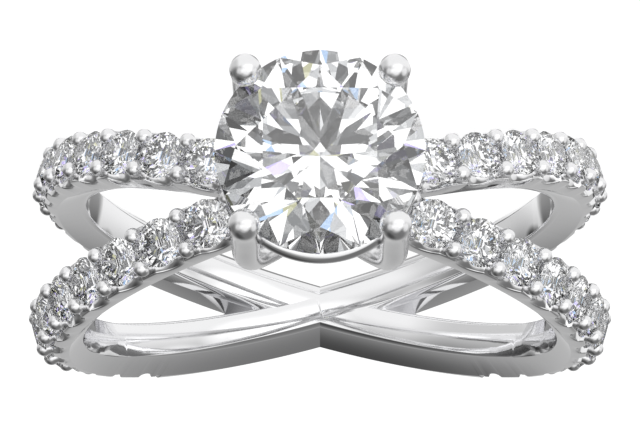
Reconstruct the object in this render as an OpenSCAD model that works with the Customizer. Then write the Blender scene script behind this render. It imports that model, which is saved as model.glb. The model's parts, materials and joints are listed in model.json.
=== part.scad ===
// Engagement ring mounting: two crossing pave strands, a four-prong basket and a round centre stone.
// The ring lies on its side. The finger goes through along Z and the head points to -Y.
// The origin is the middle of the finger hole.

/* [Finger] */
// Inside diameter, US size 7
finger_d = 17.35; // [16.5:0.05:18.5]

/* [Strands] */
// Angle between each strand and the plane across the finger
strand_tilt = 15.8; // [14:0.2:18]
// Thickness of the metal from the finger outwards
strand_depth = 1.92; // [1.8:0.02:2.1]
// Width of a strand beside the head
head_width = 1.66; // [1.6:0.02:1.8]
// Width of a strand on the palm side
palm_width = 2.5; // [2.3:0.05:2.7]
// Width of the flat that touches the finger
inner_flat = 1.1; // [1:0.02:1.2]

/* [Accent stones] */
// Diameter of each accent stone
accent_d = 1.64; // [1.5:0.01:1.66]
// Accent stones in each of the four rows
accent_count = 12; // [8:1:12]
// Angle round the ring from the middle of the head to the first accent stone
first_accent = 21.4; // [21:0.1:23]
// Angle from one accent stone to the next
accent_step = 10.03; // [9.9:0.01:10.2]
// Diameter of the beads that hold the accent stones
bead_d = 0.58; // [0.56:0.01:0.6]

/* [Centre stone] */
// Diameter of the centre stone
stone_d = 6.5; // [6:0.05:7]
// Height of its girdle above the finger
stone_rise = 6.2; // [5.8:0.05:6.6]

/* [Head] */
// Thickness of a prong
prong_d = 0.84; // [0.74:0.02:0.9]
// Angle of a prong round the stone, from the width of the ring
prong_turn = 47; // [44:0.5:48]
// Thickness of the rail under the stone
rail_wire_d = 0.6; // [0.5:0.05:0.7]

/* [Hidden] */

finger_r = finger_d / 2;
outer_r = finger_r + strand_depth;
girdle_z = finger_r + stone_rise;

// A brilliant's proportions, as shares of its diameter
table_share = 0.58;
crown_share = 0.14;
girdle_share = 0.025;
pavilion_share = 0.43;
// How far the star facets reach from the table to the girdle, and the lower halves from the girdle in
star_reach = 0.55;
lower_half_reach = 0.78;

// Clear space between a stone and the metal
stone_gap = 0.03;
// How far a cut runs past the metal
cut_over = 1;
// Metal left inside the finger's circle until the finger hole is bored
bore_stock = 0.3;

// Where the accent stones and their beads sit
accent_girdle_r = outer_r + 0.04;
bead_mid_r = outer_r + 0.05;
bead_off = 0.575;
stem_h = 0.6;
last_accent = first_accent + (accent_count - 1) * accent_step;

// The scallop under each accent stone
scallop_r = 0.66;
scallop_mid_r = outer_r + 0.1;
scallop_len = 3;

// The groove between the two rows of beads, and how far the posts end below the stones' girdles
groove_half = 0.2;
groove_depth = 0.5;
post_drop = 0.2;
// Half the width of a row's posts at their tops and at the ledge beside them, and the ledge's drop
post_half = 0.9;
post_foot_half = 1;
ledge_drop = 0.44;

// The strand's section: bevels inside and out, sides that flare outwards
inner_bevel = 0.42;
outer_bevel = 0.3;
bevel_half = 0.67;

// The side that faces the other strand flares less and less towards the palm
thinned_half = 0.69;
thinned_flare = 0.268;
thinned_off = 1;
thinned_sweep = 100;

// How much thicker a prong is at its tip and its bends
bend_extra = 0.04;
// The prong's line as distances from the stone's axis and heights above the finger's axis
tip_at = [stone_d / 2 + 0.11, girdle_z + 0.58];
shoulder_at = [stone_d / 2 + 0.17, girdle_z - 3.1];
hip_at = [stone_d / 2 - 0.2, girdle_z - 4.6];
foot_at = [1.9, finger_r - 0.1];
rail_at = [stone_d / 2 - 0.37, girdle_z - 1.65];

// The worn ring, head up and finger along Y, laid on its side
module laid_down() {
    rotate([90, 0, 0])
        children();
}

// Places its children at an angle round a strand, with their Z pointing outwards
module round_strand(angle, radius) {
    rotate([0, angle, 0])
        translate([0, 0, radius])
            children();
}

// Places its children at each accent stone of one arm of a strand
module at_accents(radius) {
    for (i = [0 : accent_count - 1])
        round_strand(first_accent + i * accent_step, radius)
            children();
}

// Both arms of a strand
module both_arms() {
    children();
    mirror([1, 0, 0])
        children();
}

// Both strands, tilted apart about the head's axis: the second is the first in a mirror
module both_strands() {
    for (flip = [0, 1])
        mirror([0, flip, 0])
            rotate([0, 0, strand_tilt])
                children();
}

// Points evenly round a circle
function around(radius, height, first, count) = [
    for (k = [0 : count - 1])
        [radius * cos(first + k * 360 / count), radius * sin(first + k * 360 / count), height]
];

// Where a brilliant's star facets meet the kites, as distance from its axis and height
function star_r(d) =
    let(inner = d / 2 * table_share * cos(22.5))
    inner + star_reach * (d / 2 - inner);
crown_slope = crown_share / (0.5 - table_share / 2);
function star_z(d) = d * girdle_share / 2 + (d / 2 - star_r(d) * cos(22.5)) * crown_slope;

// A round brilliant of diameter d with its table up and its girdle at height 0
module brilliant(d) {
    r = d / 2;
    half_girdle = d * girdle_share / 2;
    crown_top = half_girdle + d * crown_share;
    culet = half_girdle + d * pavilion_share;
    pavilion_slope = (culet - half_girdle) / r;
    lower_r = r * (1 - lower_half_reach);
    lower_z = -half_girdle - (r - lower_r * cos(22.5)) * pavilion_slope;
    points = concat(
        around(r * table_share, crown_top, 22.5, 8),
        around(star_r(d), star_z(d), 0, 8),
        around(r, half_girdle, 0, 16),
        around(r, -half_girdle, 0, 16),
        around(lower_r, lower_z, 0, 8),
        [[0, 0, -culet]]
    );
    stars = 8;
    upper = 16;
    lower = 32;
    tips = 48;
    point = 56;
    faces = concat(
        [[7, 6, 5, 4, 3, 2, 1, 0]],
        [for (k = [0 : 7]) [k, stars + k, (k + 7) % 8]],
        [for (k = [0 : 7]) [k, stars + (k + 1) % 8, upper + 2 * k + 1, stars + k]],
        [for (k = [0 : 7]) [stars + k, upper + 2 * k + 1, upper + 2 * k]],
        [for (k = [0 : 7]) [stars + k, upper + 2 * k, upper + (2 * k + 15) % 16]],
        [for (j = [0 : 15]) [upper + j, upper + (j + 1) % 16, lower + (j + 1) % 16, lower + j]],
        [for (k = [0 : 7]) [tips + k, lower + 2 * k, lower + 2 * k + 1]],
        [for (k = [0 : 7]) [tips + k, lower + (2 * k + 15) % 16, lower + 2 * k]],
        [for (k = [0 : 7]) [point, tips + k, lower + 2 * k + 1, tips + (k + 1) % 8]]
    );
    polyhedron(points = points, faces = faces);
}

// The space that a brilliant of diameter d needs in the metal
module stone_space(d) {
    r = d / 2 + stone_gap;
    half_girdle = d * girdle_share / 2 + stone_gap;
    rotate_extrude($fn = 64)
        polygon([
            [0, -half_girdle - d * pavilion_share],
            [r, -half_girdle],
            [r, half_girdle],
            [star_r(d) + stone_gap, star_z(d) + stone_gap],
            [d / 2 * table_share + stone_gap, half_girdle + d * crown_share],
            [0, half_girdle + d * crown_share]
        ]);
}

// A bar of round section between two points of a radial plane, given as [distance, height]
module bar(from, to, d) {
    run = to - from;
    translate([from[0], 0, from[1]])
        rotate([0, atan2(run[0], run[1]), 0])
            cylinder(h = norm(run), d = d, $fn = 48);
}

// One strand as a plain tilted ring before its scallops, wider towards the palm
module strand_blank() {
    head_half = head_width / 2;
    palm_half = palm_width / 2;
    intersection() {
        rotate([90, 0, 0])
            rotate_extrude($fn = 180)
                polygon([
                    [finger_r - bore_stock, -inner_flat / 2],
                    [finger_r, -inner_flat / 2],
                    [finger_r + inner_bevel, -bevel_half],
                    [outer_r - outer_bevel, -palm_half],
                    [outer_r, -palm_half + outer_bevel],
                    [outer_r, palm_half - outer_bevel],
                    [outer_r - outer_bevel, palm_half],
                    [finger_r + inner_bevel, bevel_half],
                    [finger_r, inner_flat / 2],
                    [finger_r - bore_stock, inner_flat / 2]
                ]);
        rotate([90, 0, 90])
            linear_extrude(height = 2 * (outer_r + cut_over), center = true)
                polygon([
                    [-palm_half, -outer_r],
                    [palm_half, -outer_r],
                    [head_half, outer_r],
                    [-head_half, outer_r]
                ]);
    }
}

// The cut that thins the side facing the other strand, from where it fades in down to the palm
module thinning() {
    near = finger_r - 1 - thinned_off;
    far = outer_r + cut_over;
    waist = finger_r + inner_bevel - thinned_off;
    for (side = [0, 180])
        rotate([0, 0, side])
            translate([0, 0, -thinned_off])
                rotate([90, 0, 0])
                    rotate_extrude(angle = thinned_sweep, start = -90, $fn = 180)
                        polygon([
                            [near, thinned_half + thinned_flare * (near - waist)],
                            [far, thinned_half + thinned_flare * (far - waist)],
                            [far, palm_width],
                            [near, palm_width]
                        ]);
}

// The round-bottomed cut under one accent stone, from side to side
module scallop() {
    rotate([90, 0, 0])
        cylinder(h = scallop_len, r = scallop_r, center = true, $fn = 48);
    translate([-scallop_r, -scallop_len / 2, 0])
        cube([2 * scallop_r, scallop_len, cut_over]);
}

// The cut along the stones of an arm: it lowers the posts, with a groove between them and a ledge beside them
module row_cut() {
    start = 90 - last_accent - accent_step / 2;
    swept = last_accent - first_accent + accent_step;
    post_top = outer_r - post_drop;
    ledge = outer_r - ledge_drop;
    rotate([90, 0, 0])
        rotate_extrude(angle = swept, start = start, $fn = 180)
            polygon([
                [outer_r - groove_depth, -groove_half],
                [post_top, -groove_half * 2],
                [post_top, -post_half],
                [ledge, -post_foot_half],
                [ledge, -scallop_len / 2],
                [outer_r + cut_over, -scallop_len / 2],
                [outer_r + cut_over, scallop_len / 2],
                [ledge, scallop_len / 2],
                [ledge, post_foot_half],
                [post_top, post_half],
                [post_top, groove_half * 2],
                [outer_r - groove_depth, groove_half]
            ]);
}

// The beads of an arm, two at each junction between stones, each on its own round stem
module beads() {
    for (i = [0 : accent_count])
        round_strand(first_accent + (i - 0.5) * accent_step, bead_mid_r)
            for (side = [-1, 1])
                translate([0, side * bead_off, 0]) {
                    sphere(d = bead_d, $fn = 32);
                    translate([0, 0, -stem_h])
                        cylinder(h = stem_h, d = bead_d, $fn = 32);
                }
}

// One strand with its scallops and beads
module strand() {
    difference() {
        strand_blank();
        thinning();
        both_arms() {
            at_accents(scallop_mid_r)
                scallop();
            row_cut();
        }
    }
    both_arms()
        beads();
}

// One prong, from its tip over the stone down to its foot beside the strands
module prong() {
    bar(tip_at, shoulder_at, prong_d);
    bar(shoulder_at, hip_at, prong_d);
    bar(hip_at, foot_at, prong_d);
    for (at = [tip_at, shoulder_at, hip_at])
        translate([at[0], 0, at[1]])
            sphere(d = prong_d + bend_extra, $fn = 48);
}

// The four prongs and the rail that ties them under the stone
module basket() {
    for (turn = [prong_turn, 180 - prong_turn, 180 + prong_turn, -prong_turn])
        rotate([0, 0, turn])
            prong();
    translate([0, 0, rail_at[1]])
        rotate_extrude($fn = 96)
            translate([rail_at[0], 0])
                circle(d = rail_wire_d, $fn = 32);
}

// The soldered metal: strands, beads, prongs and rail in one piece, with a seat for every stone
module mounting() {
    color("gainsboro")
        laid_down()
            difference() {
                union() {
                    both_strands()
                        strand();
                    basket();
                }
                both_strands()
                    both_arms()
                        at_accents(accent_girdle_r)
                            stone_space(accent_d);
                translate([0, 0, girdle_z])
                    stone_space(stone_d);
                rotate([90, 0, 0])
                    cylinder(h = finger_d, r = finger_r, center = true, $fn = 180);
            }
}

module center_stone() {
    color("aliceblue")
        laid_down()
            translate([0, 0, girdle_z])
                brilliant(stone_d);
}

// The accent stones of one arm: turn tilts its strand, side 1 is the left arm
module accent_row(turn, side) {
    color("lightcyan")
        laid_down()
            rotate([0, 0, turn])
                mirror([side, 0, 0])
                    at_accents(accent_girdle_r)
                        brilliant(accent_d);
}

mounting();
center_stone();
accent_row(-strand_tilt, 1);  // accents_upper_left
accent_row(strand_tilt, 0);  // accents_upper_right
accent_row(strand_tilt, 1);  // accents_lower_left
accent_row(-strand_tilt, 0);  // accents_lower_right
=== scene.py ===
import json
import math

import bmesh
import bpy
import numpy as np
from mathutils import Matrix, Vector


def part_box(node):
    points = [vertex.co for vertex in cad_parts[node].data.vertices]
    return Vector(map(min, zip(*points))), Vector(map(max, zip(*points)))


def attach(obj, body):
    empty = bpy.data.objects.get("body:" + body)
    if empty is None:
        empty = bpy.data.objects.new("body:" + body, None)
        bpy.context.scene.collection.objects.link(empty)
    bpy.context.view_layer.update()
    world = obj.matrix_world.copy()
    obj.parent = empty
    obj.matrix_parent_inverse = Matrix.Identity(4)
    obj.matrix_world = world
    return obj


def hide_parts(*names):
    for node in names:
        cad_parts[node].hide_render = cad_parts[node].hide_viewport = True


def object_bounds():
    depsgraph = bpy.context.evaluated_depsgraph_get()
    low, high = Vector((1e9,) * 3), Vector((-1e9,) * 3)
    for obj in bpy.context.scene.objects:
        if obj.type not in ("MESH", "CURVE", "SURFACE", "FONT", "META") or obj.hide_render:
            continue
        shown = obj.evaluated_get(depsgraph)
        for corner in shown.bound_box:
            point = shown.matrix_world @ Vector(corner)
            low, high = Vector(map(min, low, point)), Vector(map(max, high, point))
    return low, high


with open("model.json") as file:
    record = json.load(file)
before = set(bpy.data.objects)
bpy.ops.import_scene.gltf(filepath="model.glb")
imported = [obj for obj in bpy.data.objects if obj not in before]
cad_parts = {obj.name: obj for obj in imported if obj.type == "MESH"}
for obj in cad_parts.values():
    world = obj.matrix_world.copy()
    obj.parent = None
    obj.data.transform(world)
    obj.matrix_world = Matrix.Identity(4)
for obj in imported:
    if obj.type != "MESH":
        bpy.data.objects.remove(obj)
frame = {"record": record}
cad_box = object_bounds()

# Sizes below are millimetres in the ring as it is worn: X across, Y along the finger, Z up to the head.
MM = 0.001
LAID_ON_SIDE = Matrix.Rotation(math.radians(90), 4, "X") @ Matrix.Scale(MM, 4)
# Two measures that differ by less are the same
HAIR = 0.001

# The two strands: radii count from the finger's axis, and halves are half widths of a strand
FINGER_R = frame["record"]["mounts"][0]["dims"]["r_mm"]
STRAND_TURN = math.radians(15.8)
OUTER_R = FINGER_R + 1.92
HEAD_HALF = 0.83
PALM_HALF = 1.25
# A flat touches the finger, and a bevel beside it rises to the waist, from where the sides flare
INNER_FLAT_HALF = 0.55
BEVEL_HALF = 0.67
INNER_BEVEL = 0.42
OUTER_BEVEL = 0.3
EDGE_ROUND = 0.07
# The side of a strand that faces the other strand flares less and less towards the palm
THINNED_HALF = 0.69
THINNED_FLARE = 0.268
THINNED_OFF = 1.0
# The flat sides of half a strand's section, in their order from the finger round to the top
BORE, BEVEL, FLARE, THINNED, TAPER, RIM, LEDGE, POST, TOP = range(9)

# The rows of accent stones: angles round the ring in degrees from the middle of the head
ACCENT_D = 1.64
ACCENT_COUNT = 12
FIRST_ACCENT = 21.4
ACCENT_STEP = 10.03
LAST_ACCENT = FIRST_ACCENT + (ACCENT_COUNT - 1) * ACCENT_STEP
ACCENT_GIRDLE_R = OUTER_R + 0.04
# Each scallop is a round scoop under a stone, cut by SCOOP_SWING degrees to either side of its depth
SCALLOP_R = 0.66
SCALLOP_MID_R = OUTER_R + 0.1
SCOOP_SWING = 58
# A post with a groove along its top stands between two scallops, on a ledge where the strand is wide
POST_TOP_R = OUTER_R - 0.2
POST_HALF = 0.9
POST_FOOT_HALF = 1.0
LEDGE_R = OUTER_R - 0.44
GROOVE_R = OUTER_R - 0.5
GROOVE_HALF = 0.2
# Two beads on each post, each on a stem
BEAD_R = 0.29
BEAD_MID_R = OUTER_R + 0.05
BEAD_OFF = 0.575
STEM_R = 0.255
STEM_H = 0.6

# A brilliant's proportions, as shares of its diameter, and the angles between its facets
TABLE_SHARE = 0.58
CROWN_SHARE = 0.14
GIRDLE_SHARE = 0.025
PAVILION_SHARE = 0.43
STAR_REACH = 0.55
LOWER_HALF_REACH = 0.78
EIGHTH = 45
SIXTEENTH = 22.5
# Points round the girdle in each sixteenth, so that it is round and scalloped
GIRDLE_STEPS = 6

# The head: prongs and rail, set out from the centre stone's girdle
stone_low, stone_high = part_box("center_stone")
STONE_D = (stone_high.x - stone_low.x) / MM
GIRDLE_Z = -stone_high.y / MM + STONE_D * (PAVILION_SHARE + GIRDLE_SHARE / 2)
PRONG_R = 0.45
PRONG_TIP_R = 0.5
PRONG_TURNS = [math.radians(a) for a in (47, 133, 227, 313)]
# A prong's middle line from the tip to the shank: distance from the head's axis and height
PRONG_LINE = [
    (STONE_D / 2 + 0.13, GIRDLE_Z + 0.52),
    (STONE_D / 2 + 0.15, GIRDLE_Z - 1.2),
    (STONE_D / 2 + 0.17, GIRDLE_Z - 3.1),
    (STONE_D / 2 - 0.2, GIRDLE_Z - 4.6),
    (1.9, FINGER_R - 0.1),
]
RAIL_MID_R = STONE_D / 2 - 0.37
RAIL_Z = GIRDLE_Z - 1.65
RAIL_R = 0.3

# The dome of painted reflections that the stones throw back, with tints that paint coloured flashes in
# place of dispersion: from what share of its patches on each grey and each tint holds
PAINTED_REFLECTION_GREYS = [(0, "#060606"), (0.2, "#3A3C3E"), (0.36, "#7C7E80"), (0.47, "#BCBEC0"), (0.58, "#FFFFFF")]
PAINTED_FIRE_TINTS = [(0, "#FFFFFF"), (0.84, "#A9C8EE"), (0.9, "#C3B6F2"), (0.95, "#B4B48E")]
# How the dome of painted reflections is turned, in degrees
PAINTED_REFLECTION_TURN = (30, 0, 100)
# Radii of the dome of painted reflections and of the white paper behind the ring, and half the floor, in
# metres
PAINTED_REFLECTION_R = 0.4
PAPER_R = 1.2
FLOOR_HALF = 3.0

# The studio's walls fade between two elevations in degrees: from the glow below, and into the dusk above
GLOW = {"low": -22, "high": 10, "from": 1.0, "to": 0.5}
DUSK = {"low": 8, "high": 55, "from": 0.0, "to": 0.32}
LEAST_LIGHT = 0.02
# Its soft round panels: azimuth, elevation, half angles of the core and of the faded edge, and brightness.
# A negative brightness is a dark panel that takes light away.
PANELS = [
    (-12, 20, 28, 46, 0.5),
    (-38, 4, 16, 32, 0.4),
    (0, 42, 16, 40, 0.3),
    (46, 26, 12, 26, 0.4),
    (-82, 18, 16, 26, 0.45),
    (130, 45, 10, 40, -0.12),
    (95, -12, 22, 52, -0.33),
    (156, -9, 8, 15, -0.65),
    (-156, -9, 8, 15, -0.65),
    (132, 2, 6, 11, -0.4),
    (-132, 4, 6, 11, -0.4),
    (-155, -42, 8, 14, -0.7),
    (150, -42, 8, 14, -0.6),
]


def linear(hex_colour):
    """An sRGB hex colour as linear red, green, blue and alpha."""
    parts = [int(hex_colour[i:i + 2], 16) / 255 for i in (1, 3, 5)]
    return tuple(p / 12.92 if p < 0.04045 else ((p + 0.055) / 1.055) ** 2.4 for p in parts) + (1.0,)


def add_node(tree, kind, settings=None, links=None):
    """Adds a node, sets its properties and sockets and feeds the sockets in links.
    A socket goes by its name, or by its number where two share a name."""
    node = tree.nodes.new(kind)
    for key, value in (settings or {}).items():
        if isinstance(key, int) or key in node.inputs:
            node.inputs[key].default_value = value
        else:
            setattr(node, key, value)
    for key, source in (links or {}).items():
        tree.links.new(source, node.inputs[key])
    return node


def new_material(name):
    """An empty node material and its tree."""
    material = bpy.data.materials.new(name)
    material.use_nodes = True
    material.node_tree.nodes.clear()
    return material, material.node_tree


def rhodium_plated_white_gold(name, least_haze, most_haze):
    """Cast 14 carat white gold, buffed and rhodium plated: a bright neutral mirror.
    The buffing wheel leaves ripples about 0.9 mm long, which bend the reflections a little,
    and a faint haze of fine scratches, which softens them unevenly."""
    ripple_length = 0.9 * MM
    ripple_depth = 0.0016 * MM
    scratch_spacing = 0.25 * MM
    material, tree = new_material(name)
    place = add_node(tree, "ShaderNodeTexCoord")
    ripples = add_node(tree, "ShaderNodeTexNoise", {"Scale": 1 / ripple_length, "Detail": 1.0},
                       {"Vector": place.outputs["Object"]})
    rippled = add_node(tree, "ShaderNodeBump", {"Strength": 1.0, "Distance": ripple_depth},
                       {"Height": ripples.outputs["Fac"]})
    scratches = add_node(tree, "ShaderNodeTexNoise", {"Scale": 1 / scratch_spacing, "Detail": 4.0},
                         {"Vector": place.outputs["Object"]})
    haze = add_node(tree, "ShaderNodeMapRange", {"To Min": least_haze, "To Max": most_haze},
                    {"Value": scratches.outputs["Fac"]})
    metal = add_node(tree, "ShaderNodeBsdfPrincipled",
                     {"Base Color": linear("#F1F1F2"), "Metallic": 1.0},
                     {"Roughness": haze.outputs["Result"], "Normal": rippled.outputs["Normal"]})
    add_node(tree, "ShaderNodeOutputMaterial", {}, {"Surface": metal.outputs["BSDF"]})
    return material


def cut_diamond(name):
    """Colourless diamond, cut and polished flat: it bends light far more than glass does,
    so its back facets throw most of it out through the top."""
    material, tree = new_material(name)
    stone = add_node(tree, "ShaderNodeBsdfPrincipled", {
        "Base Color": linear("#FFFFFF"), "Roughness": 0.0, "IOR": 2.417, "Transmission Weight": 1.0})
    add_node(tree, "ShaderNodeOutputMaterial", {}, {"Surface": stone.outputs["BSDF"]})
    return material


def lit_acrylic():
    """White acrylic sheet lit from below through its matt face: near white, with only a faint shadow."""
    material, tree = new_material("lit_acrylic")
    sheet = add_node(tree, "ShaderNodeBsdfPrincipled", {
        "Base Color": linear("#D8D9DA"), "Roughness": 0.6,
        "Emission Color": linear("#FFFFFF"), "Emission Strength": 0.82})
    add_node(tree, "ShaderNodeOutputMaterial", {}, {"Surface": sheet.outputs["BSDF"]})
    return material


def laid_mesh(name, shape):
    """The mesh of a shape given in worn millimetres, laid on its side, with its faces turned outwards."""
    verts, faces = shape
    mesh = bpy.data.meshes.new(name)
    mesh.from_pydata([tuple(v) for v in verts], [], faces)
    mesh.transform(LAID_ON_SIDE)
    turned_out = bmesh.new()
    turned_out.from_mesh(mesh)
    bmesh.ops.recalc_face_normals(turned_out, faces=turned_out.faces)
    turned_out.to_mesh(mesh)
    turned_out.free()
    return mesh


def finish_piece(name, shape, material, node, smooth=True):
    """Makes one piece, fixes it to the ring and has it stand for a node."""
    mesh = laid_mesh(name, shape)
    mesh.polygons.foreach_set("use_smooth", [smooth] * len(mesh.polygons))
    mesh.materials.append(material)
    piece = bpy.data.objects.new(name, mesh)
    bpy.context.scene.collection.objects.link(piece)
    if smooth:
        even = piece.modifiers.new("flats stay flat", "WEIGHTED_NORMAL")
        even.keep_sharp = True
    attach(piece, "root")
    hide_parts(node)
    return piece


def join_shapes(shapes):
    """Puts several (points, faces) shapes into one."""
    verts = []
    faces = []
    for points, polygons in shapes:
        base = len(verts)
        verts.extend(points)
        faces.extend([tuple(base + i for i in polygon) for polygon in polygons])
    return verts, faces


def placed(shape, matrix):
    """The shape moved by a matrix."""
    points, polygons = shape
    return [matrix @ Vector(p) for p in points], polygons


def ring_of_rings(rings, closed_along):
    """Faces between rings of points of equal length, each ring closed."""
    count = len(rings[0])
    verts = [p for ring in rings for p in ring]
    faces = []
    last = len(rings) if closed_along else len(rings) - 1
    for i in range(last):
        a = i * count
        b = (i + 1) % len(rings) * count
        for k in range(count):
            n = (k + 1) % count
            faces.append((a + k, a + n, b + n, b + k))
    return verts, faces


def turned(profile, steps):
    """A closed shape turned about Z from (radius, height) points, whose ends lie on the axis."""
    verts = [(0, 0, profile[0][1]), (0, 0, profile[-1][1])]
    faces = []
    inner = profile[1:-1]
    for r, z in inner:
        verts.extend((r * math.cos(2 * math.pi * k / steps), r * math.sin(2 * math.pi * k / steps), z)
                     for k in range(steps))
    for k in range(steps):
        n = (k + 1) % steps
        faces.append((0, 2 + n, 2 + k))
        end = 2 + (len(inner) - 1) * steps
        faces.append((1, end + k, end + n))
        for i in range(len(inner) - 1):
            a = 2 + i * steps
            b = a + steps
            faces.append((a + k, a + n, b + n, b + k))
    return verts, faces


def bore_height(angle, across, turn):
    """Distance from a strand's own axis to the finger hole's wall, at a place across the strand."""
    lean = math.sin(angle) * math.cos(turn)
    a = lean ** 2 + math.cos(angle) ** 2
    b = -2 * lean * across * math.sin(turn)
    c = (across * math.sin(turn)) ** 2 - FINGER_R ** 2
    return (-b + math.sqrt(b * b - 4 * a * c)) / (2 * a)


def between(p, q):
    """The flat side of a section through two points, as (normal across, normal outwards, distance)."""
    along = (q[0] - p[0], q[1] - p[1])
    length = math.hypot(*along)
    normal = (along[1] / length, -along[0] / length)
    return normal[0], normal[1], normal[0] * p[0] + normal[1] * p[1]


def crossing(p, q):
    """The point where two sides cross."""
    det = p[0] * q[1] - p[1] * q[0]
    return (p[2] * q[1] - q[2] * p[1]) / det, (p[0] * q[2] - q[0] * p[2]) / det


def thinned_half(angle, outwards):
    """Half the width that the thinning leaves at a distance from the strand's own axis."""
    from_cut = math.hypot(outwards * math.sin(angle), outwards * math.cos(angle) + THINNED_OFF)
    return THINNED_HALF + THINNED_FLARE * (from_cut + THINNED_OFF - FINGER_R - INNER_BEVEL)


def half_sides(angle, turn, side, top_r):
    """The flat sides of one half of a strand's section, from the finger round to the top, with across
    counted from the middle. Side is 1 or -1, the half's side of the strand."""
    # How far to either side the slope of the finger hole's wall is taken
    probe = 0.6
    slope = (bore_height(angle, side * probe, turn) - bore_height(angle, -side * probe, turn)) / (2 * probe)
    bore_scale = math.hypot(1, slope)
    taper = (PALM_HALF - HEAD_HALF) / (2 * OUTER_R) * math.cos(angle)
    scale = math.hypot(1, taper)
    waist = (BEVEL_HALF, FINGER_R + INNER_BEVEL)
    shoulder = (PALM_HALF, OUTER_R - OUTER_BEVEL)
    thinned = [(thinned_half(angle, v), v) for v in (FINGER_R + INNER_BEVEL, OUTER_R)]
    thinned_side = between(*thinned)
    # The side that faces away from the other strand isn't thinned, so this one goes far outside it
    if side * turn * angle > 0:
        thinned_side = thinned_side[:2] + (2 * OUTER_R,)
    return [
        (slope / bore_scale, -1 / bore_scale, -bore_height(angle, 0, turn) / bore_scale),
        between((INNER_FLAT_HALF, FINGER_R), waist),
        between(waist, shoulder),
        thinned_side,
        (1 / scale, taper / scale, (PALM_HALF + HEAD_HALF) / 2 / scale),
        between(shoulder, (PALM_HALF - OUTER_BEVEL, OUTER_R)),
        (0.0, 1.0, LEDGE_R),
        between((POST_FOOT_HALF, LEDGE_R), (POST_HALF, POST_TOP_R)),
        (0.0, 1.0, top_r),
    ]


def uncut(sides, chosen):
    """Those of the chosen sides that the others don't cut away altogether, in a half that starts at 0."""
    endless, parallel, shortest = 1e9, 1e-9, 1e-6
    kept = []
    limits = [sides[j] for j in chosen] + [(-1.0, 0.0, 0.0)]
    for i in chosen:
        nu, nv, d = sides[i]
        low, high = -endless, endless
        for mu, mv, e in limits:
            rate = -mu * nv + mv * nu
            room = e - (mu * nu + mv * nv) * d
            if abs(rate) < parallel:
                continue
            if rate > 0:
                high = min(high, room / rate)
            else:
                low = max(low, room / rate)
        if high > low + shortest:
            kept.append(i)
    return kept


def shown_sides(sides, in_row):
    """Which sides of a half show, by their places in the list."""
    ledge_half = min((d - nv * LEDGE_R) / nu for nu, nv, d in sides[FLARE:LEDGE])
    has_post = in_row and sides[TOP][2] > LEDGE_R + HAIR
    has_ledge = has_post and ledge_half > POST_FOOT_HALF + HAIR
    chosen = [BORE, FLARE, THINNED, TAPER, RIM]
    if has_ledge:
        chosen += [LEDGE]
    elif has_post:
        chosen += [POST, TOP]
    else:
        chosen += [TOP]
    kept = uncut(sides, chosen)
    # The ledge and the waist are hollow corners, which the others don't cut
    if has_ledge:
        kept += [POST, TOP]
    if crossing(sides[BORE], sides[BEVEL])[1] < FINGER_R + INNER_BEVEL - HAIR:
        kept.insert(1, BEVEL)
    return kept


def half_outline(angle, turn, side, top_r, in_row):
    """The outline of one half of a strand's section, with its outer corners rounded.
    It always has the same number of points, so that sections join into a strand."""
    arc_points = 3
    # The share of the shorter side beside a corner that its rounding may take
    most_rounded = 0.45
    sides = half_sides(angle, turn, side, top_r)
    kept = shown_sides(sides, in_row)
    corners = [crossing(sides[a], sides[b]) for a, b in zip(kept, kept[1:])]
    lengths = [math.dist(p, q) for p, q in zip(corners, corners[1:])]
    lengths = [corners[0][0]] + lengths + [corners[-1][0]]
    outline = []
    for n, (a, b) in enumerate(zip(kept, kept[1:])):
        first, last = (math.atan2(sides[i][1], sides[i][0]) for i in (a, b))
        half_turn = (last - first) / 2
        radius = 0.0
        if half_turn > 0:
            shorter = min(lengths[n], lengths[n + 1])
            radius = min(EDGE_ROUND, most_rounded * shorter / math.tan(half_turn))
        back = radius / math.cos(half_turn)
        u = corners[n][0] - back * math.cos(first + half_turn)
        v = corners[n][1] - back * math.sin(first + half_turn)
        at = first
        for i in range(a, b):
            goal = last
            if i < b - 1:
                goal = min(max(at, math.atan2(sides[i + 1][1], sides[i + 1][0])), last)
            for k in range(arc_points):
                facing = at + (goal - at) * k / (arc_points - 1)
                outline.append((u + radius * math.cos(facing), v + radius * math.sin(facing)))
            at = goal
    return outline


def strand_section(angle, turn, top_r, groove_r):
    """One rounded section of a strand as (across, outwards) points, with the groove between the beads."""
    in_row = groove_r < POST_TOP_R
    right = half_outline(angle, turn, 1, top_r, in_row)
    left = half_outline(angle, turn, -1, top_r, in_row)
    # The share of the top that the groove may take
    most = 0.9
    wide = min(2 * GROOVE_HALF, right[-1][0] * most, left[-1][0] * most)
    low = min(top_r, groove_r)
    groove = [(wide, top_r), (wide / 2, low), (-wide / 2, low), (-wide, top_r)]
    return right + groove + [(-u, v) for u, v in reversed(left)]


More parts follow.
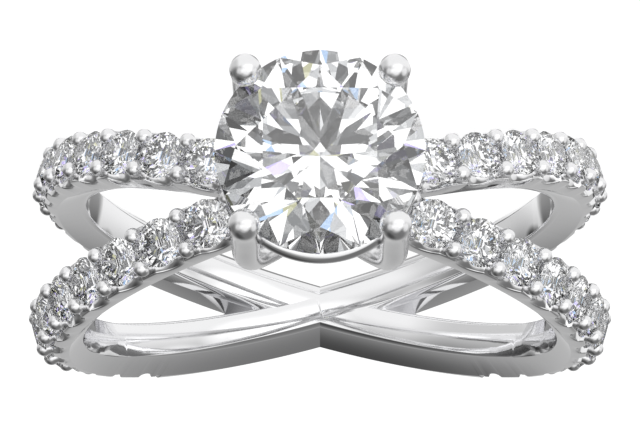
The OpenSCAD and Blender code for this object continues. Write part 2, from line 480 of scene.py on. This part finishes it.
def arm_stations():
    """Stations along an arm, from the head to the palm: angle, height of the metal and of its groove."""
    start = FIRST_ACCENT - ACCENT_STEP / 2
    end = LAST_ACCENT + ACCENT_STEP / 2
    # In degrees: the first and last station, the wall at either end of the row and a scallop's round lip
    first, last = 1.5, 179.7
    wall = 0.15
    lip = 0.45
    edge_r = OUTER_R - 0.04
    rim_half = math.sqrt(SCALLOP_R ** 2 - (SCALLOP_MID_R - POST_TOP_R) ** 2)
    rim = math.degrees(math.atan2(rim_half, POST_TOP_R))
    stations = [(a, OUTER_R, OUTER_R) for a in np.linspace(first, start - wall, 8)]
    stations.append((start, edge_r, edge_r))
    stations.append((start + wall, POST_TOP_R, GROOVE_R))
    for i in range(ACCENT_COUNT):
        middle = FIRST_ACCENT + i * ACCENT_STEP
        scoop = []
        for swing in np.linspace(-SCOOP_SWING, SCOOP_SWING, 15):
            s = SCALLOP_R * math.sin(math.radians(swing))
            z = SCALLOP_MID_R - SCALLOP_R * math.cos(math.radians(swing))
            scoop.append((middle + math.degrees(math.atan2(s, z)), math.hypot(s, z)))
        into = (middle - rim - lip, POST_TOP_R)
        out = (middle + rim + lip, POST_TOP_R)
        corner_in = (middle - rim, POST_TOP_R)
        corner_out = (middle + rim, POST_TOP_R)
        # The lips curve between the post and the scoop, with stations at these shares of the curve
        for t in (0.0, 0.3, 0.6, 0.85):
            stations.append(bent(into, corner_in, scoop[0], t) + (GROOVE_R,))
        stations.extend(place + (GROOVE_R,) for place in scoop)
        for t in (0.15, 0.4, 0.7, 1.0):
            stations.append(bent(scoop[-1], corner_out, out, t) + (GROOVE_R,))
    stations.append((end - wall, POST_TOP_R, GROOVE_R))
    stations.append((end, edge_r, edge_r))
    stations.extend((a, OUTER_R, OUTER_R) for a in np.linspace(end + wall, last, 24))
    return stations


def bent(p, q, r, t):
    """A point at share t of the curve from p to r that is pulled towards q."""
    return tuple((1 - t) ** 2 * a + 2 * t * (1 - t) * b + t * t * c for a, b, c in zip(p, q, r))


def strand(turn):
    """One strand of the shank, scalloped along both arms, turned about the head's axis."""
    arm = arm_stations() + [(180.0, OUTER_R, OUTER_R)]
    loop = [(0.0, OUTER_R, OUTER_R)] + arm + [(-a, top, groove) for a, top, groove in reversed(arm)]
    rings = []
    swing = Matrix.Rotation(turn, 3, "Z")
    for degrees, top, groove in loop:
        angle = math.radians(degrees)
        section = strand_section(angle, turn, top, groove)
        rings.append([swing @ Vector((v * math.sin(angle), u, v * math.cos(angle))) for u, v in section])
    return ring_of_rings(rings, closed_along=True)


def on_strand(degrees, radius, across, side, turn):
    """The frame of a place on an arm, with its own Z outwards; side -1 is the left arm."""
    swing = Matrix.Rotation(turn, 4, "Z")
    round_to = Matrix.Rotation(math.radians(degrees) * side, 4, "Y")
    return swing @ round_to @ Matrix.Translation((0, across, radius))


def bead():
    """A bead raised with a beading tool: a small dome on a slightly thinner stem."""
    # The dome starts a little below its widest line, at this angle in radians
    tuck = -0.5
    dome = [(BEAD_R * math.cos(a), BEAD_R * math.sin(a)) for a in np.linspace(tuck, math.pi / 2, 11)]
    return turned([(0, -STEM_H), (STEM_R, -STEM_H)] + dome[:-1] + [(0, BEAD_R)], steps=28)


def all_beads():
    """Two beads at each junction of the four rows."""
    shapes = []
    for turn in (STRAND_TURN, -STRAND_TURN):
        for side in (-1, 1):
            for i in range(ACCENT_COUNT + 1):
                degrees = FIRST_ACCENT + (i - 0.5) * ACCENT_STEP
                for across in (-BEAD_OFF, BEAD_OFF):
                    shapes.append(placed(bead(), on_strand(degrees, BEAD_MID_R, across, side, turn)))
    return join_shapes(shapes)


def smooth_line(points, steps):
    """A smooth curve through the points, with a number of steps between each two."""
    padded = [points[0]] + points + [points[-1]]
    line = []
    for i in range(1, len(padded) - 2):
        p0, p1, p2, p3 = (np.array(p, float) for p in padded[i - 1:i + 3])
        for k in range(steps):
            t = k / steps
            line.append(0.5 * (2 * p1 + (p2 - p0) * t + (2 * p0 - 5 * p1 + 4 * p2 - p3) * t ** 2
                               + (3 * p1 - p0 - 3 * p2 + p3) * t ** 3))
    line.append(np.array(points[-1], float))
    return line


def prong():
    """One prong in the XZ plane: a round claw over the stone that bends in towards the shank."""
    steps = 40
    # How many steps along the prong its fuller tip reaches
    claw_reach = 3.0
    line = smooth_line(PRONG_LINE, steps=10)
    rings = []

    def ring(middle, along, radius):
        side = Vector((along[1], 0, -along[0]))
        circle = []
        for k in range(steps):
            a = 2 * math.pi * k / steps
            spot = side * (radius * math.cos(a)) + Vector((0, radius * math.sin(a), 0))
            circle.append(Vector((middle[0], 0, middle[1])) + spot)
        return circle

    # The round tip, from near its point to where it is almost as wide as the claw, by angle in degrees
    down = (line[1] - line[0]) / np.linalg.norm(line[1] - line[0])
    for a in np.linspace(80, 10, 8):
        raised = line[0] - down * PRONG_TIP_R * math.sin(math.radians(a))
        rings.append(ring(raised, down, PRONG_TIP_R * math.cos(math.radians(a))))
    for i, middle in enumerate(line):
        along = line[min(i + 1, len(line) - 1)] - line[max(i - 1, 0)]
        along = along / np.linalg.norm(along)
        claw = math.exp(-(i / claw_reach) ** 2)
        rings.append(ring(middle, along, PRONG_R + (PRONG_TIP_R - PRONG_R) * claw))
    verts, faces = ring_of_rings(rings, closed_along=False)
    faces.append(tuple(range(steps)))
    faces.append(tuple(range(len(verts) - steps, len(verts))))
    return verts, faces


def rail():
    """The round wire ring that ties the prongs under the stone."""
    steps_along, steps_round = 128, 24
    rings = []
    for i in range(steps_along):
        a = 2 * math.pi * i / steps_along
        ring = []
        for k in range(steps_round):
            b = 2 * math.pi * k / steps_round
            r = RAIL_MID_R + RAIL_R * math.cos(b)
            ring.append(Vector((r * math.cos(a), r * math.sin(a), RAIL_Z + RAIL_R * math.sin(b))))
        rings.append(ring)
    return ring_of_rings(rings, closed_along=True)


def stone_seat():
    """The space that the centre stone needs in the prongs, a little larger than the stone."""
    gap = 0.02
    r = STONE_D / 2 + gap
    half_girdle = STONE_D * GIRDLE_SHARE / 2 + gap
    star_r, star_z = star_place(STONE_D)
    profile = [
        (0, -half_girdle - STONE_D * PAVILION_SHARE),
        (r, -half_girdle),
        (r, half_girdle),
        (star_r + gap, star_z + gap),
        (STONE_D / 2 * TABLE_SHARE + gap, half_girdle + STONE_D * CROWN_SHARE),
        (0, half_girdle + STONE_D * CROWN_SHARE),
    ]
    return placed(turned(profile, steps=96), Matrix.Translation((0, 0, GIRDLE_Z)))


def finger_space():
    """The round space of the finger hole."""
    half_long = 8.0
    profile = [(0, -half_long), (FINGER_R, -half_long), (FINGER_R, half_long), (0, half_long)]
    cylinder = turned(profile, steps=256)
    return placed(cylinder, Matrix.Rotation(math.radians(90), 4, "X"))


def cut_away(piece, shape):
    """Cuts a shape, given in worn millimetres, out of a piece."""
    cutter = bpy.data.objects.new("cutter", laid_mesh("cutter", shape))
    bpy.context.scene.collection.objects.link(cutter)
    cut = piece.modifiers.new("cut", "BOOLEAN")
    cut.operation = "DIFFERENCE"
    cut.solver = "EXACT"
    cut.object = cutter
    piece.modifiers.move(len(piece.modifiers) - 1, 0)
    with bpy.context.temp_override(object=piece, active_object=piece):
        bpy.ops.object.modifier_apply(modifier=cut.name)
    bpy.data.objects.remove(cutter)


def star_place(d):
    """Where a brilliant's star facets meet its kites: distance from the axis and height over the girdle."""
    inner = d / 2 * TABLE_SHARE * math.cos(math.radians(SIXTEENTH))
    star_r = inner + STAR_REACH * (d / 2 - inner)
    slope = CROWN_SHARE / (0.5 - TABLE_SHARE / 2)
    star_z = d * GIRDLE_SHARE / 2 + (d / 2 - star_r * math.cos(math.radians(SIXTEENTH))) * slope
    return star_r, star_z


def brilliant(d):
    """A round brilliant with 57 facets and a round, scalloped girdle, table up and girdle at height 0."""
    r = d / 2
    half_girdle = d * GIRDLE_SHARE / 2
    crown_top = half_girdle + d * CROWN_SHARE
    culet = half_girdle + d * PAVILION_SHARE
    star_r, star_z = star_place(d)
    lower_r = r * (1 - LOWER_HALF_REACH)
    pavilion_slope = (culet - half_girdle) / r
    lower_z = -half_girdle - (r - lower_r * math.cos(math.radians(SIXTEENTH))) * pavilion_slope

    def at(radius, degrees, height):
        a = math.radians(degrees)
        return Vector((radius * math.cos(a), radius * math.sin(a), height))

    def facet_height(star, first, last, spot):
        """Height of the plane through three points, over a place on the girdle."""
        normal = (first - star).cross(last - star)
        return star.z - (normal.x * (spot.x - star.x) + normal.y * (spot.y - star.y)) / normal.z

    table = [at(r * TABLE_SHARE, SIXTEENTH + EIGHTH * k, crown_top) for k in range(8)]
    stars = [at(star_r, EIGHTH * k, star_z) for k in range(8)]
    tips = [at(lower_r, EIGHTH * k, lower_z) for k in range(8)]
    count = 16 * GIRDLE_STEPS
    upper = []
    lower = []
    for j in range(count):
        degrees = SIXTEENTH * j / GIRDLE_STEPS
        sector = j // GIRDLE_STEPS
        nearest = ((sector + 1) // 2) % 8
        first, last = SIXTEENTH * sector, SIXTEENTH * (sector + 1)
        spot = at(r, degrees, 0)
        up = facet_height(stars[nearest], at(r, first, half_girdle), at(r, last, half_girdle), spot)
        low = facet_height(tips[nearest], at(r, first, -half_girdle), at(r, last, -half_girdle), spot)
        upper.append(at(r, degrees, up))
        lower.append(at(r, degrees, low))

    points = table + stars + upper + lower + tips + [Vector((0, 0, -culet))]
    star_at = len(table)
    upper_at = star_at + len(stars)
    lower_at = upper_at + count
    tip_at = lower_at + count
    point_at = tip_at + len(tips)
    faces = [tuple(range(8))]
    for k in range(8):
        faces.append((k, star_at + k, (k + 7) % 8))
        kite_corner = (2 * k + 1) * GIRDLE_STEPS
        faces.append((k, star_at + k, upper_at + kite_corner, star_at + (k + 1) % 8))
        faces.append((point_at, tip_at + k, lower_at + kite_corner, tip_at + (k + 1) % 8))
        for sector in (2 * k, 2 * k - 1):
            run = [(sector * GIRDLE_STEPS + n) % count for n in range(GIRDLE_STEPS + 1)]
            faces.append(tuple([star_at + k] + [upper_at + n for n in run]))
            faces.append(tuple([tip_at + k] + [lower_at + n for n in run]))
    for j in range(count):
        n = (j + 1) % count
        faces.append((upper_at + j, upper_at + n, lower_at + n, lower_at + j))
    return points, faces


def accent_row(side, turn):
    """The stones of one arm: small brilliants, with their tables outwards."""
    shapes = []
    for i in range(ACCENT_COUNT):
        degrees = FIRST_ACCENT + i * ACCENT_STEP
        shapes.append(placed(brilliant(ACCENT_D), on_strand(degrees, ACCENT_GIRDLE_R, 0, side, turn)))
    return join_shapes(shapes)


def towards(azimuth, elevation):
    """A direction in the row's frame. Azimuth 0 is the camera's side and 90 is +X."""
    a, e = math.radians(azimuth), math.radians(elevation)
    return Vector((math.sin(a) * math.cos(e), -math.cos(a) * math.cos(e), math.sin(e)))


def add_panel(tree, sky, azimuth, elevation, core, edge, brightness):
    """The sky's brightness with one round panel added, which fades from its core to its edge."""
    place = add_node(tree, "ShaderNodeTexCoord")
    near = add_node(tree, "ShaderNodeVectorMath",
                    {"operation": "DOT_PRODUCT", 1: towards(azimuth, elevation)},
                    {0: place.outputs["Generated"]})
    share = add_node(tree, "ShaderNodeMapRange", {
        "interpolation_type": "SMOOTHSTEP", "From Min": math.cos(math.radians(edge)),
        "From Max": math.cos(math.radians(core)), "To Min": 0.0, "To Max": brightness},
        {"Value": near.outputs["Value"]})
    total = add_node(tree, "ShaderNodeMath", {"operation": "ADD"}, {0: sky, 1: share.outputs["Result"]})
    return total.outputs["Value"]


def set_sky():
    """A colourless studio: white below the ring's level and grey above, with soft panels round it."""
    world = bpy.data.worlds.new("studio")
    world.use_nodes = True
    tree = world.node_tree
    tree.nodes.clear()
    place = add_node(tree, "ShaderNodeTexCoord")
    height = add_node(tree, "ShaderNodeSeparateXYZ", {}, {"Vector": place.outputs["Generated"]})
    fades = []
    for fade in (GLOW, DUSK):
        fades.append(add_node(tree, "ShaderNodeMapRange", {
            "interpolation_type": "SMOOTHSTEP", "From Min": math.sin(math.radians(fade["low"])),
            "From Max": math.sin(math.radians(fade["high"])), "To Min": fade["from"], "To Max": fade["to"]},
            {"Value": height.outputs["Z"]}))
    walls = add_node(tree, "ShaderNodeMath", {"operation": "SUBTRACT"},
                     {0: fades[0].outputs["Result"], 1: fades[1].outputs["Result"]})
    sky = walls.outputs["Value"]
    for panel in PANELS:
        sky = add_panel(tree, sky, *panel)
    never_black = add_node(tree, "ShaderNodeMath", {"operation": "MAXIMUM", 1: LEAST_LIGHT}, {0: sky})
    air = add_node(tree, "ShaderNodeBackground", {}, {"Color": never_black.outputs["Value"]})
    add_node(tree, "ShaderNodeOutputWorld", {}, {"Surface": air.outputs["Background"]})
    bpy.context.scene.world = world


def stitched_sheets():
    """Painted reflections for the stones: glowing white, grey and faintly tinted patches about 100 mm
    across, on one dome.
    Each facet of a stone throws one of them back, so neighbouring facets differ sharply, and the tints
    paint coloured flashes in place of fire."""
    patch_width = 100 * MM
    material, tree = new_material("stitched_sheets")
    place = add_node(tree, "ShaderNodeTexCoord")
    sheets = add_node(tree, "ShaderNodeTexVoronoi", {"Scale": 1 / patch_width},
                      {"Vector": place.outputs["Object"]})
    draws = add_node(tree, "ShaderNodeSeparateColor", {}, {"Color": sheets.outputs["Color"]})
    greys = add_node(tree, "ShaderNodeValToRGB", {}, {"Fac": draws.outputs["Red"]})
    tints = add_node(tree, "ShaderNodeValToRGB", {}, {"Fac": draws.outputs["Green"]})
    for ramp, steps in ((greys.color_ramp, PAINTED_REFLECTION_GREYS), (tints.color_ramp, PAINTED_FIRE_TINTS)):
        ramp.interpolation = "CONSTANT"
        ramp.elements[0].color = linear(steps[0][1])
        ramp.elements[1].position = steps[1][0]
        ramp.elements[1].color = linear(steps[1][1])
        for position, colour in steps[2:]:
            ramp.elements.new(position).color = linear(colour)
    painted_reflection_colour = add_node(tree, "ShaderNodeVectorMath", {"operation": "MULTIPLY"},
                    {0: greys.outputs["Color"], 1: tints.outputs["Color"]})
    # Painted reflections: the patches glow, but they light nothing and only show inside the stones
    glow = add_node(tree, "ShaderNodeEmission", {"Strength": 1.4}, {"Color": painted_reflection_colour.outputs["Vector"]})
    add_node(tree, "ShaderNodeOutputMaterial", {}, {"Surface": glow.outputs["Emission"]})
    material.cycles.emission_sampling = "NONE"
    return material


def white_paper():
    """Seamless white paper with its own lamps: pure white, as the photo's background."""
    material, tree = new_material("white_paper")
    glow = add_node(tree, "ShaderNodeEmission", {"Color": linear("#FFFFFF"), "Strength": 1.0})
    add_node(tree, "ShaderNodeOutputMaterial", {}, {"Surface": glow.outputs["Emission"]})
    material.cycles.emission_sampling = "NONE"
    return material


def set_dome(name, radius, material, seen_by_camera):
    """A dome round the ring, which either only the camera sees or only light that leaves a stone."""
    shell = bmesh.new()
    bmesh.ops.create_icosphere(shell, subdivisions=5, radius=radius)
    mesh = bpy.data.meshes.new(name)
    shell.to_mesh(mesh)
    shell.free()
    mesh.materials.append(material)
    dome = bpy.data.objects.new(name, mesh)
    dome.visible_camera = seen_by_camera
    dome.visible_transmission = not seen_by_camera
    dome.visible_diffuse = False
    dome.visible_glossy = False
    dome.visible_shadow = False
    bpy.context.scene.collection.objects.link(dome)
    return dome


def set_floor(lowest):
    """The plain pale floor under the ring."""
    corners = [(FLOOR_HALF * x, FLOOR_HALF * y, 0) for x, y in ((-1, -1), (1, -1), (1, 1), (-1, 1))]
    mesh = bpy.data.meshes.new("floor")
    mesh.from_pydata(corners, [], [(0, 1, 2, 3)])
    mesh.materials.append(lit_acrylic())
    floor = bpy.data.objects.new("floor", mesh)
    floor.location.z = lowest
    floor.visible_glossy = False
    floor.visible_transmission = False
    bpy.context.scene.collection.objects.link(floor)


def set_camera():
    """The photo's camera: it looks at the head from 13 degrees above the floor. It is held upside down,
    which puts the palm side below the head in the picture."""
    # Angle between the line of sight and the finger's axis
    tilt = math.radians(76.9)
    back = Vector((0, -math.sin(tilt), math.cos(tilt)))
    right = Vector((-1, 0, 0))
    up = back.cross(right)
    distance = 85.3
    # In pixels: a millimetre at the ring, the picture's width, and the ring's middle below the picture's
    pixels_per_mm = 26.91
    picture_w = 640
    centre_drop = 45.4
    data = bpy.data.cameras.new("camera")
    data.sensor_width = 36
    data.lens = data.sensor_width * pixels_per_mm * distance / picture_w
    data.shift_y = centre_drop / picture_w
    data.clip_start = 0.001
    camera = bpy.data.objects.new("camera", data)
    turn = Matrix((right, up, back)).transposed().to_4x4()
    camera.matrix_world = Matrix.Translation(back * distance * MM) @ turn
    bpy.context.scene.collection.objects.link(camera)
    bpy.context.scene.camera = camera


def set_light_paths():
    """Room for the light to run through a stone, and plain display of its brightness."""
    scene = bpy.context.scene
    scene.cycles.max_bounces = 24
    scene.cycles.transmission_bounces = 24
    scene.cycles.glossy_bounces = 10
    scene.cycles.diffuse_bounces = 4
    scene.view_settings.view_transform = "Standard"
    scene.view_settings.look = "None"


# A buffing wheel reaches the strands and the rail. The prongs and beads are only tumbled: a softer shine.
wheel_polished = rhodium_plated_white_gold("wheel_polished_white_gold", least_haze=0.035, most_haze=0.085)
tumbled = rhodium_plated_white_gold("tumbled_white_gold", least_haze=0.16, most_haze=0.24)
centre_diamond = cut_diamond("centre_diamond")
accent_diamond = cut_diamond("accent_diamond")

both_strands = join_shapes([strand(STRAND_TURN), strand(-STRAND_TURN)])
finish_piece("crossing_strands", both_strands, wheel_polished, "mounting")
finish_piece("accent_beads", all_beads(), tumbled, "mounting")
four_prongs = join_shapes([placed(prong(), Matrix.Rotation(a, 4, "Z")) for a in PRONG_TURNS])
prongs = finish_piece("prongs", four_prongs, tumbled, "mounting")
cut_away(prongs, stone_seat())
cut_away(prongs, finger_space())
finish_piece("rail", rail(), wheel_polished, "mounting")
centre_stone = placed(brilliant(STONE_D), Matrix.Translation((0, 0, GIRDLE_Z)))
finish_piece("centre_brilliant", centre_stone,
             centre_diamond, "center_stone", smooth=False)
for name, side, turn in (
    ("upper_left", -1, -STRAND_TURN),
    ("upper_right", 1, STRAND_TURN),
    ("lower_left", -1, STRAND_TURN),
    ("lower_right", 1, -STRAND_TURN),
):
    finish_piece("accents_" + name + "_cut", accent_row(side, turn),
                 accent_diamond, "accents_" + name, smooth=False)

set_floor(cad_box[0].z)
set_sky()
set_dome("paper_sweep", PAPER_R, white_paper(), seen_by_camera=True)
# Painted reflections: only light that leaves a stone sees this glowing dome, so its grey and tinted patches
# show in the facets
backdrop = set_dome("backdrop", PAINTED_REFLECTION_R, stitched_sheets(), seen_by_camera=False)
backdrop.rotation_euler = [math.radians(a) for a in PAINTED_REFLECTION_TURN]
set_camera()
set_light_paths()
